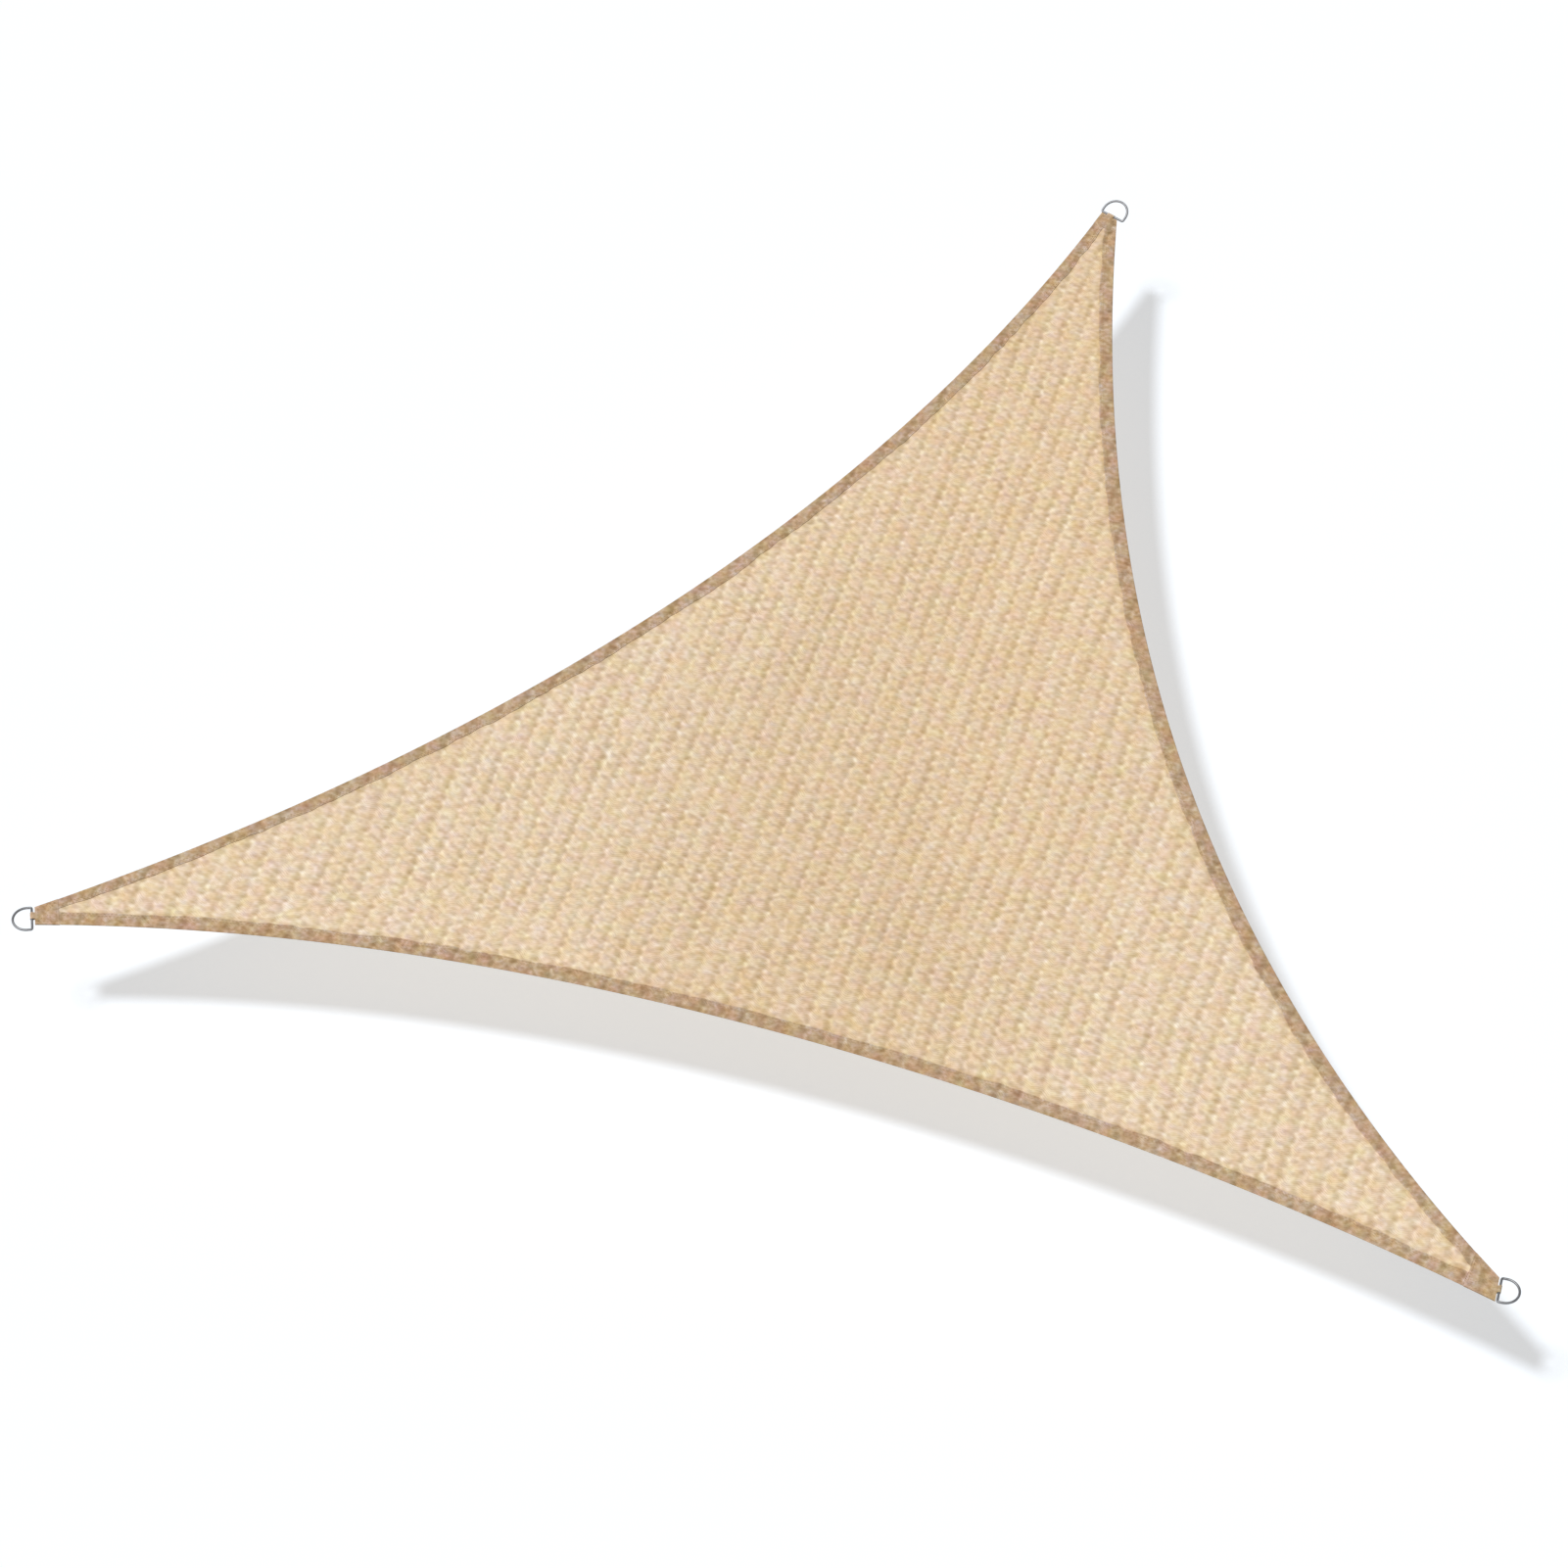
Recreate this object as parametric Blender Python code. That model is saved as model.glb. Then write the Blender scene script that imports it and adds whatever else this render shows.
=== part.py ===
"""Triangular shade sail stretched between three corner rings, in metres with +Z up.

The sail lies level. The frame's origin is the point where the left ring is hooked. +X runs along the
lower side towards the right corner, and +Y towards the top corner.
"""
import math

import bmesh
import bpy
from mathutils import Vector

# ---------------------------------------------------------------- sizes
SIDE = 3.6                 # of the equal-sided triangle that the sail is cut to
CLOTH = 0.0012             # thickness of the knitted cloth
LAYER = 0.0010             # thickness of one layer of band or tab
GAP = 0.0003               # air between pieces that touch
SEAM = 0.0005              # air between the end of a band and a tab
NECK = 0.009               # from the end of a tab to the middle of the ring's bar
TONGUE = 0.020             # width of the tongue that goes from the tab's end round the bar
CLOTH_TIP = 0.006          # from the end of a tab to the end of the cloth inside it

DIP = 0.035                # how far the middle hangs below the corners
DIP_START = 0.05           # the cloth stays level this far in from each edge
DIP_RUN = 0.70             # and reaches its full dip this much further in

WIRE = 0.006               # diameter of the ring's wire
RING_WIDTH = 0.068         # of the D, between the middles of its sides
RING_DEPTH = 0.046         # of the D, from the middle of the bar to the middle of the bow
RING_BEND = 0.004          # bend radius between the bar and a side

STATIONS = 40              # steps along each edge
ROUNDS = 8                 # rounds of faces from the cloth's edge to its middle
FOLD_STEPS = 6             # steps round the fold of a band
WRAP_STEPS = 10            # steps round the ring's bar
BEND_STEPS = 3             # steps round a bend of the ring
BOW_STEPS = 20             # steps round the ring's bow
SMOOTH_ANGLE = math.radians(40)

# Each corner: the way out of the sail, how far the ring and the tab's end are turned from that, how far
# the tab's end lies inside the triangle's corner, and half the tab's width there.
# Then the tab's length, and how far its ring has slid clockwise along its bar and swung up round it.
CORNERS = {
    "left": {"out": 210, "turn": -6, "set_back": 0.007, "half_width": 0.027,
             "length": 0.055, "slide": -0.0075, "swing": 0},
    "top": {"out": 90, "turn": -20, "set_back": 0.002, "half_width": 0.0255,
            "length": 0.042, "slide": 0.004, "swing": 25},
    "right": {"out": 330, "turn": 34, "set_back": 0.010, "half_width": 0.034,
              "length": 0.075, "slide": 0.002, "swing": 0},
}
# Each edge, clockwise: its corners, how far it curves inwards, how much of that leans to its end and how
# much is pushed towards both ends, and its band's width in the middle and at the ends.
EDGES = {
    "upper": {"start": "left", "end": "top", "sag": 0.285, "lean": 0.07, "spread": 0.01,
              "band": 0.036, "band_end": 0.030},
    "right": {"start": "top", "end": "right", "sag": 0.313, "lean": 0.26, "spread": 0.01,
              "band": 0.040, "band_end": 0.033},
    "lower": {"start": "right", "end": "left", "sag": 0.240, "lean": 0.25, "spread": 0.08,
              "band": 0.042, "band_end": 0.039},
}

HALF_STACK = CLOTH / 2 + GAP + LAYER          # from the cloth's middle to a band's face
LAYER_HEIGHT = HALF_STACK - LAYER / 2         # from the cloth's middle to a layer's middle
WRAP_RADIUS = WIRE / 2 + GAP + LAYER / 2      # of a tab's middle, round the ring's bar

SAND = (0.745, 0.578, 0.392)
TAN = (0.509, 0.352, 0.223)
STEEL = (0.42, 0.42, 0.43)


# ---------------------------------------------------------------- lines in plan
def heading(degrees):
    """Unit vector in the sail's plane."""
    return Vector((math.cos(math.radians(degrees)), math.sin(math.radians(degrees)), 0))


def ring_heading(corner):
    """The way that a corner's ring points, in degrees."""
    return CORNERS[corner]["out"] + CORNERS[corner]["turn"]


def along_bar(corner):
    """Unit vector along a ring's bar, clockwise round the sail."""
    return heading(ring_heading(corner) - 90)


def triangle_corner(corner):
    """A corner of the triangle that the sail is cut to."""
    left = CORNERS["left"]
    hook_to_bar = -heading(ring_heading("left")) * (RING_DEPTH - WIRE / 2)
    bar_to_corner = -heading(ring_heading("left")) * (NECK - left["set_back"])
    first = hook_to_bar - along_bar("left") * left["slide"] + bar_to_corner
    return first + {"left": Vector(), "top": heading(60) * SIDE, "right": heading(0) * SIDE}[corner]


def tab_end(corner):
    """The middle of a tab's end."""
    return triangle_corner(corner) - heading(ring_heading(corner)) * CORNERS[corner]["set_back"]


def bar_point(corner):
    """The point on the middle of a ring's bar that the tab's tongue goes round."""
    return tab_end(corner) + heading(ring_heading(corner)) * NECK


def tip_point(corner, side):
    """The end of a tab's end line: side is 1 clockwise and -1 the other way."""
    return tab_end(corner) + along_bar(corner) * CORNERS[corner]["half_width"] * side


def edge_frame(edge):
    """Start of an edge, the straight line to its end, and the way into the sail."""
    start = tip_point(EDGES[edge]["start"], 1)
    chord = tip_point(EDGES[edge]["end"], -1) - start
    return start, chord, Vector((chord.y, -chord.x, 0)).normalized()


def bow(edge, share):
    """How far the edge curves into the sail, at a share of its length."""
    sizes = EDGES[edge]
    skew = sizes["lean"] * (share - 0.5) + sizes["spread"] * ((2 * share - 1) ** 2 - 0.2)
    return sizes["sag"] * 4 * share * (1 - share) * (1 + skew)


def band_width(edge, share):
    """From a band's fold to its inner hem: widest in the middle of the edge."""
    sizes = EDGES[edge]
    return sizes["band"] - (sizes["band"] - sizes["band_end"]) * abs(2 * share - 1) ** 3


def edge_point(edge, share, inset=0.0):
    """Point on the line that lies inset from an edge."""
    start, chord, inward = edge_frame(edge)
    step = 0.5 / STATIONS
    rise = (bow(edge, share + step) - bow(edge, share - step)) / (2 * step)
    square_in = (inward * chord.length - chord.normalized() * rise).normalized()
    return start + chord * share + inward * bow(edge, share) + square_in * inset


def share_of(edge, distance):
    """The share of an edge that a distance along it is."""
    return distance / edge_frame(edge)[1].length


def edges_at(corner):
    """The edge that ends at a corner and the one that starts there."""
    ending = next(name for name, edge in EDGES.items() if edge["end"] == corner)
    starting = next(name for name, edge in EDGES.items() if edge["start"] == corner)
    return ending, starting


def tab_line(corner, distance):
    """Both ends of the line across a tab at a distance from its end."""
    ending, starting = edges_at(corner)
    return (edge_point(ending, 1 - share_of(ending, distance)),
            edge_point(starting, share_of(starting, distance)))


def ease(share):
    """Smooth step from 0 to 1."""
    share = min(max(share, 0), 1)
    return share * share * (3 - 2 * share)


def dip(point):
    """Height of the cloth's middle: level along the edges and lowest in the centre."""
    depth = DIP
    for edge in EDGES:
        start, chord, inward = edge_frame(edge)
        share = (point - start).dot(chord) / chord.length_squared
        inside = (point - start).dot(inward) - bow(edge, share)
        depth *= ease((inside - DIP_START) / DIP_RUN)
    return -depth


# ---------------------------------------------------------------- making objects
def material(name, colour, roughness, metallic=0.0):
    """Principled material of one plain colour."""
    made = bpy.data.materials.new(name)
    made.use_nodes = True
    shader = made.node_tree.nodes["Principled BSDF"]
    shader.inputs["Base Color"].default_value = (*colour, 1)
    shader.inputs["Roughness"].default_value = roughness
    shader.inputs["Metallic"].default_value = metallic
    made.diffuse_color = (*colour, 1)
    return made


def add_object(name, data, finish):
    """Link an object with its own material."""
    made = bpy.data.objects.new(name, data)
    bpy.context.scene.collection.objects.link(made)
    data.materials.append(finish)
    return made


def add_sheet(name, bm, thickness, finish):
    """Turn the middle surface in bm into a sheet of cloth of one thickness."""
    bmesh.ops.recalc_face_normals(bm, faces=bm.faces)
    mesh = bpy.data.meshes.new(name)
    bm.to_mesh(mesh)
    bm.free()
    sheet = add_object(name, mesh, finish)
    solid = sheet.modifiers.new("thickness", "SOLIDIFY")
    solid.thickness = thickness
    solid.offset = 0
    solid.use_even_offset = True
    thick = sheet.evaluated_get(bpy.context.evaluated_depsgraph_get())
    sheet.data = bpy.data.meshes.new_from_object(thick)
    sheet.modifiers.clear()
    sheet.data.shade_smooth()
    sheet.data.set_sharp_from_angle(angle=SMOOTH_ANGLE)
    return sheet


def join_rows(bm, low, high):
    """Join two rows of as many vertices with faces."""
    for i in range(len(low) - 1):
        bm.faces.new((low[i], low[i + 1], high[i + 1], high[i]))


def add_grid(bm, rows):
    """Join rows of points, each of the same length, with faces, and give their vertices."""
    grid = [[bm.verts.new(point) for point in row] for row in rows]
    for low, high in zip(grid, grid[1:]):
        join_rows(bm, low, high)
    return grid


# ---------------------------------------------------------------- pieces
def make_cloth():
    """The panel: its outline is drawn in towards the centre, round by round, and then dipped."""
    outline = []
    for edge in EDGES:
        tip = share_of(edge, CLOTH_TIP)
        shares = [tip] + [i / STATIONS for i in range(1, STATIONS)] + [1 - tip]
        outline += [edge_point(edge, share, HALF_STACK) for share in shares]
    centre = sum((triangle_corner(corner) for corner in CORNERS), Vector()) / len(CORNERS)

    bm = bmesh.new()
    verts = [bm.verts.new(point) for point in outline]
    edges = [bm.edges.new(pair) for pair in zip(verts, verts[1:] + verts[:1])]
    for rounds_left in range(ROUNDS, 1, -1):
        made = bmesh.ops.extrude_edge_only(bm, edges=edges)["geom"]
        edges = [item for item in made if isinstance(item, bmesh.types.BMEdge)]
        for vert in {vert for edge in edges for vert in edge.verts}:
            vert.co = centre.lerp(vert.co, (rounds_left - 1) / rounds_left)
    middle = bm.verts.new(centre)
    for edge in edges:
        bm.faces.new((*edge.verts, middle))
    for vert in bm.verts:
        vert.co.z = dip(vert.co)
    return add_sheet("sail_cloth", bm, CLOTH, material("knitted sand cloth", SAND, 0.85))


def fold_profile(width):
    """Inset and height of the points round a band's fold, from its upper inner hem to its lower one."""
    profile = [(width, LAYER_HEIGHT), (width / 2, LAYER_HEIGHT)]
    for i in range(FOLD_STEPS + 1):
        turn = math.pi * (0.5 + i / FOLD_STEPS)
        profile.append((HALF_STACK + LAYER_HEIGHT * math.cos(turn), LAYER_HEIGHT * math.sin(turn)))
    return profile + [(width / 2, -LAYER_HEIGHT), (width, -LAYER_HEIGHT)]


def make_band(edge):
    """Tape folded over the cloth's edge and cut off along the lines where the tabs start."""
    bm = bmesh.new()
    rows = []
    for i in range(STATIONS + 1):
        share = i / STATIONS
        profile = fold_profile(band_width(edge, share))
        rows.append([edge_point(edge, share, inset) + Vector((0, 0, height)) for inset, height in profile])
    add_grid(bm, rows)
    for corner in (EDGES[edge]["start"], EDGES[edge]["end"]):
        first, last = tab_line(corner, CORNERS[corner]["length"])
        outward = Vector((first.y - last.y, last.x - first.x, 0)).normalized()
        everything = bm.verts[:] + bm.edges[:] + bm.faces[:]
        bmesh.ops.bisect_plane(bm, geom=everything, plane_co=first - outward * SEAM,
                               plane_no=outward, clear_outer=True)
    return add_sheet(f"band_{edge}", bm, LAYER, material(f"{edge} band tape", TAN, 0.85))


def tab_leaf(bm, corner, height):
    """One layer of a tab. Gives the two vertices of its end from which the tongue goes on."""
    length, half_width = CORNERS[corner]["length"], CORNERS[corner]["half_width"]
    beside = (half_width - TONGUE / 2) / (2 * half_width)
    rows = []
    for distance in (length, length / 2, 0):
        first, last = tab_line(corner, distance)
        lift = Vector((0, 0, height))
        rows.append([first.lerp(last, share) + lift for share in (0, beside, 1 - beside, 1)])
    return add_grid(bm, rows)[-1][1:3]


def make_tab(corner):
    """Tape over and under the cloth's tip: its two layers are one, through a tongue round the ring's bar."""
    reach = math.hypot(NECK, LAYER_HEIGHT)
    touch = math.atan2(LAYER_HEIGHT, NECK) + math.acos(WRAP_RADIUS / reach)
    inward = -heading(ring_heading(corner))
    rows = []
    for i in range(WRAP_STEPS + 1):
        turn = touch + (2 * math.pi - 2 * touch) * i / WRAP_STEPS
        middle = bar_point(corner) + inward * WRAP_RADIUS * math.cos(turn)
        middle.z = WRAP_RADIUS * math.sin(turn)
        rows.append([middle - along_bar(corner) * TONGUE / 2, middle + along_bar(corner) * TONGUE / 2])

    bm = bmesh.new()
    upper_end = tab_leaf(bm, corner, LAYER_HEIGHT)
    lower_end = tab_leaf(bm, corner, -LAYER_HEIGHT)
    tongue = add_grid(bm, rows)
    join_rows(bm, upper_end, tongue[0])
    join_rows(bm, tongue[-1], lower_end)
    return add_sheet(f"tab_{corner}", bm, LAYER, material(f"{corner} tab tape", TAN, 0.85))


def make_ring(corner):
    """D-ring: the bar lies on the ring's own X axis, and the bow points along its Y axis."""
    half = RING_WIDTH / 2
    outline = []
    for i in range(BEND_STEPS + 1):
        turn = math.radians(-90 + 90 * i / BEND_STEPS)
        outline.append((half - RING_BEND + RING_BEND * math.cos(turn),
                        RING_BEND + RING_BEND * math.sin(turn)))
    for i in range(BOW_STEPS + 1):
        turn = math.pi * i / BOW_STEPS
        outline.append((half * math.cos(turn), RING_DEPTH - half + half * math.sin(turn)))
    outline += [(-x, y) for x, y in reversed(outline[:BEND_STEPS + 1])]

    curve = bpy.data.curves.new(f"ring_{corner}", "CURVE")
    curve.dimensions = "3D"
    curve.bevel_depth = WIRE / 2
    curve.bevel_resolution = 4
    spline = curve.splines.new("POLY")
    spline.points.add(len(outline) - 1)
    for point, (x, y) in zip(spline.points, outline):
        point.co = (x, y, 0, 1)
    spline.use_cyclic_u = True
    ring = add_object(f"ring_{corner}", curve, material(f"{corner} ring steel", STEEL, 0.3, 1.0))
    ring.location = bar_point(corner) + along_bar(corner) * CORNERS[corner]["slide"]
    ring.rotation_euler = (math.radians(CORNERS[corner]["swing"]), 0, math.radians(ring_heading(corner) - 90))
    return ring


for old in list(bpy.data.objects):
    bpy.data.objects.remove(old, do_unlink=True)
make_cloth()
for edge_name in EDGES:
    make_band(edge_name)
for corner_name in CORNERS:
    make_tab(corner_name)
    make_ring(corner_name)
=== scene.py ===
# %% [markdown]
# # A triangular shade sail
#
# The sail is one panel of knitted sand-coloured cloth. Its three edges curve inwards and are bound with a
# darker tape that is folded over them. At each corner a short tab of the same tape holds a steel D-ring.
# It is stretched level between three hooks, which belong to the garden and not to the sail.
#
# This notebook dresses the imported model: it loads the plain solids, models each piece again with its
# stitches and its texture, and sets the camera and the light.

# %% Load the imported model
import math

import bmesh
import bpy
from mathutils import Matrix, Vector, noise


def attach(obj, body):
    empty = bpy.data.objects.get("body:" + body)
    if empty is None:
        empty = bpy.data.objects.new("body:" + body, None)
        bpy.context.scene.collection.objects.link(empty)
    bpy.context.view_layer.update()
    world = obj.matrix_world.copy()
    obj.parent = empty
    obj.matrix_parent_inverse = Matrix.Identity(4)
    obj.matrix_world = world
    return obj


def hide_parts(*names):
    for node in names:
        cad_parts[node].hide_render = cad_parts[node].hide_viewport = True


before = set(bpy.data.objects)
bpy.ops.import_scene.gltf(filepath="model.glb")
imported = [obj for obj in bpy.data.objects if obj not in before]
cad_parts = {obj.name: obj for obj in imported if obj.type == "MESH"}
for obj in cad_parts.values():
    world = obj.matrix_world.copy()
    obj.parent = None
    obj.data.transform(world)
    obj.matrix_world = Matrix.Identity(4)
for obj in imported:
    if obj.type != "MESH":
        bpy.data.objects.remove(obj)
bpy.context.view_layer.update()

print("nodes:", sorted(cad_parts))


# %% [markdown]
# ## Camera
#
# The sail is seen from in front, a little from the right and 49 degrees above its own plane. The lens is
# long, so the far corner is hardly smaller than the near ones. The camera is placed by going back from a
# point near the middle of the sail, which is easier to reason about than typing in a position.

# %% Camera
AZIMUTH = math.radians(17.81)
ELEVATION = math.radians(49.09)
DISTANCE = 14.35           # metres
AIM = Vector((1.6235, 0.9744, 0))
SENSOR = 36                # millimetres
LENS = 134.9               # millimetres

camera_data = bpy.data.cameras.new("camera")
camera_data.sensor_width = SENSOR
camera_data.lens = LENS
camera = bpy.data.objects.new("camera", camera_data)
bpy.context.scene.collection.objects.link(camera)
back = Vector((math.sin(AZIMUTH) * math.cos(ELEVATION), -math.cos(AZIMUTH) * math.cos(ELEVATION),
               math.sin(ELEVATION)))
camera.location = AIM + back * DISTANCE
camera.rotation_euler = (math.pi / 2 - ELEVATION, 0, AZIMUTH)
bpy.context.scene.camera = camera
print("camera at", [round(value, 3) for value in camera.location])


# %% [markdown]
# ## Numbers of the sail
#
# These are the sizes that the solids were made from, in metres and degrees. Every new piece is worked out
# from them, so each lies where its solid lies. An edge is a shallow bow between the ends of two tabs, and
# each one is a little different, as on any sewn sail.

# %% Sizes of the sail
SIDE = 3.6                 # of the triangle that the sail is cut to
CLOTH = 0.0012             # thickness of the panel
LAYER = 0.0010             # thickness of the tape
GAP = 0.0003               # between the tape and what it lies on
SEAM = 0.0005              # between the end of a band and a tab
NECK = 0.009               # from a tab's end to the middle of its ring's bar
TONGUE = 0.020             # width of the tape round the bar
CLOTH_TIP = 0.006          # from a tab's end to the end of the cloth inside it
DIP = 0.035                # how low the middle of the panel hangs
DIP_START = 0.05           # from an edge to where the panel starts to sink
DIP_RUN = 0.70             # from there to its full dip
WIRE = 0.006
RING_WIDTH = 0.068         # of the D, between the middles of its sides
RING_DEPTH = 0.046         # of the D, from the middle of the bar to the middle of the bow
RING_BEND = 0.004          # radius at the two ends of the bar
HALF_STACK = CLOTH / 2 + GAP + LAYER
LAYER_HEIGHT = HALF_STACK - LAYER / 2
WRAP_RADIUS = WIRE / 2 + GAP + LAYER / 2

# out: the way from the middle of the sail to the corner. turn: how far the tab and its ring turn from it.
# slide: how far the ring has moved along its bar. swing: how far it is swung up round its bar.
CORNERS = {
    "left": {"out": 210, "turn": -6, "set_back": 0.007, "half_width": 0.027,
             "length": 0.055, "slide": -0.0075, "swing": 0},
    "top": {"out": 90, "turn": -20, "set_back": 0.002, "half_width": 0.0255,
            "length": 0.042, "slide": 0.004, "swing": 25},
    "right": {"out": 330, "turn": 34, "set_back": 0.010, "half_width": 0.034,
              "length": 0.075, "slide": 0.002, "swing": 0},
}

# sag: greatest depth of the bow. lean and spread: how the depth is shared out along it. band and band_end:
# width of the folded band in the middle of the edge and at its ends.
EDGES = {
    "upper": {"start": "left", "end": "top", "sag": 0.285, "lean": 0.07, "spread": 0.01,
              "band": 0.036, "band_end": 0.030},
    "right": {"start": "top", "end": "right", "sag": 0.313, "lean": 0.26, "spread": 0.01,
              "band": 0.040, "band_end": 0.033},
    "lower": {"start": "right", "end": "left", "sag": 0.240, "lean": 0.25, "spread": 0.08,
              "band": 0.042, "band_end": 0.039},
}


# %% Lines at the corners
def heading(degrees):
    """Unit vector in the sail's plane."""
    return Vector((math.cos(math.radians(degrees)), math.sin(math.radians(degrees)), 0))


def ring_heading(corner):
    """The way that a corner's ring points, in degrees."""
    return CORNERS[corner]["out"] + CORNERS[corner]["turn"]


def along_bar(corner):
    """Unit vector along a ring's bar, clockwise round the sail."""
    return heading(ring_heading(corner) - 90)


def triangle_corner(corner):
    """A corner of the triangle that the sail is cut to."""
    left = CORNERS["left"]
    hook_to_bar = -heading(ring_heading("left")) * (RING_DEPTH - WIRE / 2)
    bar_to_corner = -heading(ring_heading("left")) * (NECK - left["set_back"])
    first = hook_to_bar - along_bar("left") * left["slide"] + bar_to_corner
    return first + {"left": Vector(), "top": heading(60) * SIDE, "right": heading(0) * SIDE}[corner]


def tab_end(corner):
    """The middle of a tab's end."""
    return triangle_corner(corner) - heading(ring_heading(corner)) * CORNERS[corner]["set_back"]


def bar_point(corner):
    """The point on the middle of a ring's bar that the tab's tongue goes round."""
    return tab_end(corner) + heading(ring_heading(corner)) * NECK


def tip_point(corner, side):
    """The end of a tab's end line: side is 1 clockwise and -1 the other way."""
    return tab_end(corner) + along_bar(corner) * CORNERS[corner]["half_width"] * side


# %% Lines along the edges
FRAMES = {}
for name, sizes in EDGES.items():
    start = tip_point(sizes["start"], 1)
    chord = tip_point(sizes["end"], -1) - start
    FRAMES[name] = (start, chord, Vector((chord.y, -chord.x, 0)).normalized())
    print(f"{name} edge: {chord.length:.3f} m between the tabs' ends")


def bow(edge, share):
    """How far the edge curves into the sail, at a share of its length."""
    sizes = EDGES[edge]
    skew = sizes["lean"] * (share - 0.5) + sizes["spread"] * ((2 * share - 1) ** 2 - 0.2)
    return sizes["sag"] * 4 * share * (1 - share) * (1 + skew)


def rise(edge, share):
    """How steeply the edge leaves its straight line there, in metres for the whole edge."""
    step = 1 / 80
    return (bow(edge, share + step) - bow(edge, share - step)) / (2 * step)


def band_width(edge, share):
    """From a band's fold to its inner hem: widest in the middle of the edge."""
    sizes = EDGES[edge]
    return sizes["band"] - (sizes["band"] - sizes["band_end"]) * abs(2 * share - 1) ** 3


def edge_point(edge, share, inset=0.0):
    """Point on the line that lies inset from an edge."""
    start, chord, inward = FRAMES[edge]
    square_in = (inward * chord.length - chord.normalized() * rise(edge, share)).normalized()
    return start + chord * share + inward * bow(edge, share) + square_in * inset


def tab_line(corner, distance):
    """Both ends of the line across a tab at a distance from its end."""
    ending = next(name for name, sizes in EDGES.items() if sizes["end"] == corner)
    starting = next(name for name, sizes in EDGES.items() if sizes["start"] == corner)
    return (edge_point(ending, 1 - distance / FRAMES[ending][1].length),
            edge_point(starting, distance / FRAMES[starting][1].length))


def tab_side(corner):
    """A point on the line where a tab's wide end meets the bands, and the way from there to its ring."""
    first, last = tab_line(corner, CORNERS[corner]["length"])
    return first, Vector((first.y - last.y, last.x - first.x, 0)).normalized()


def inside(edge, point):
    """The share of an edge beside a point, and how far the point lies inside that edge."""
    start, chord, inward = FRAMES[edge]
    share = (point - start).dot(chord) / chord.length_squared
    across = (point - start).dot(inward) - bow(edge, share)
    return share, across / math.hypot(1, rise(edge, share) / chord.length)


# %% [markdown]
# ## Tools of the workbench
#
# A few helpers keep the later steps short. Blender's operators act on whatever is selected, and the packed
# nodes come in selected, so each step first clears the selection. A finished piece rides on the sail's one
# body and stands for the plain solid that it replaces.

# %% Helpers for pieces
SHARP = math.radians(50)   # edges that turn more than this stay sharp


def clear_selection():
    """Nothing selected and nothing active."""
    bpy.ops.object.select_all(action="DESELECT")
    bpy.context.view_layer.objects.active = None


def choose(piece):
    """Select one piece alone."""
    clear_selection()
    piece.select_set(True)
    bpy.context.view_layer.objects.active = piece


def apply_modifiers(piece):
    """Make what the modifiers do part of the mesh."""
    choose(piece)
    for modifier in list(piece.modifiers):
        bpy.ops.object.modifier_apply(modifier=modifier.name)


def thicken(piece, thickness, even=True):
    """Give a sheet its thickness, half to each side, and shade it smooth but for its cut edges."""
    wall = piece.modifiers.new("thickness of the sheet", "SOLIDIFY")
    wall.thickness = thickness
    wall.offset = 0
    wall.use_even_offset = even
    apply_modifiers(piece)
    piece.data.shade_smooth()
    piece.data.set_sharp_from_angle(angle=SHARP)


def finish_piece(piece, name, finish, slot, *nodes):
    """Name a piece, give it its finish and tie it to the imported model."""
    piece.name = name
    piece.data.name = name
    piece.data.materials.clear()
    piece.data.materials.append(finish)
    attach(piece, "root")
    if nodes:
        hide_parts(*nodes)
    triangles = sum(len(face.vertices) - 2 for face in piece.data.polygons)
    print(f"{name}: {len(piece.data.vertices)} vertices, {triangles} triangles")
    return piece


# %% Helpers for finishes
NOISE_RANGE = {"From Min": 0.3, "From Max": 0.7}  # a noise is seldom outside it


def linear(code):
    """An sRGB hex colour as the linear colour that a shader wants."""
    channels = [int(code[i:i + 2], 16) / 255 for i in (1, 3, 5)]
    return [c / 12.92 if c <= 0.04045 else ((c + 0.055) / 1.055) ** 2.4 for c in channels] + [1]


def add_node(tree, kind, links=None, out=0, **settings):
    """Add a node with its settings. links gives each input a value or another node's output."""
    made = tree.nodes.new(kind)
    for setting, value in settings.items():
        setattr(made, setting, value)
    for socket, value in (links or {}).items():
        if isinstance(value, bpy.types.NodeSocket):
            tree.links.new(value, made.inputs[socket])
        else:
            made.inputs[socket].default_value = value
    return made.outputs[out]


def new_finish(name):
    """An empty material: its tree, and the surface input of its output."""
    finish = bpy.data.materials.new(name)
    finish.use_nodes = True
    finish.node_tree.nodes.clear()
    output = finish.node_tree.nodes.new("ShaderNodeOutputMaterial")
    return finish, finish.node_tree, output.inputs["Surface"]


# %% [markdown]
# ## Floor and light
#
# The sail hangs 300 mm above a pale floor, which catches its soft shadow. Most of the floor's brightness is
# its own glow, so the shadow stays one even light grey, as in a catalogue picture. A wide sun from the left
# and a weak white sky light the cloth.

# %% Floor and light
FLOOR_LEVEL = -0.3
FLOOR_SIZE = 80            # metres, so that it fills every view
FLOOR_GLOW = 0.55
SUN_PATH = Vector((0.120, 0.052, -0.3))
SUN_STRENGTH = 2.84
SUN_WIDTH = math.radians(8)
SKY_LIGHT = 0.25           # what the sky gives the cloth
SKY_SEEN = 1.0             # what the camera sees beyond the floor

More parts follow.
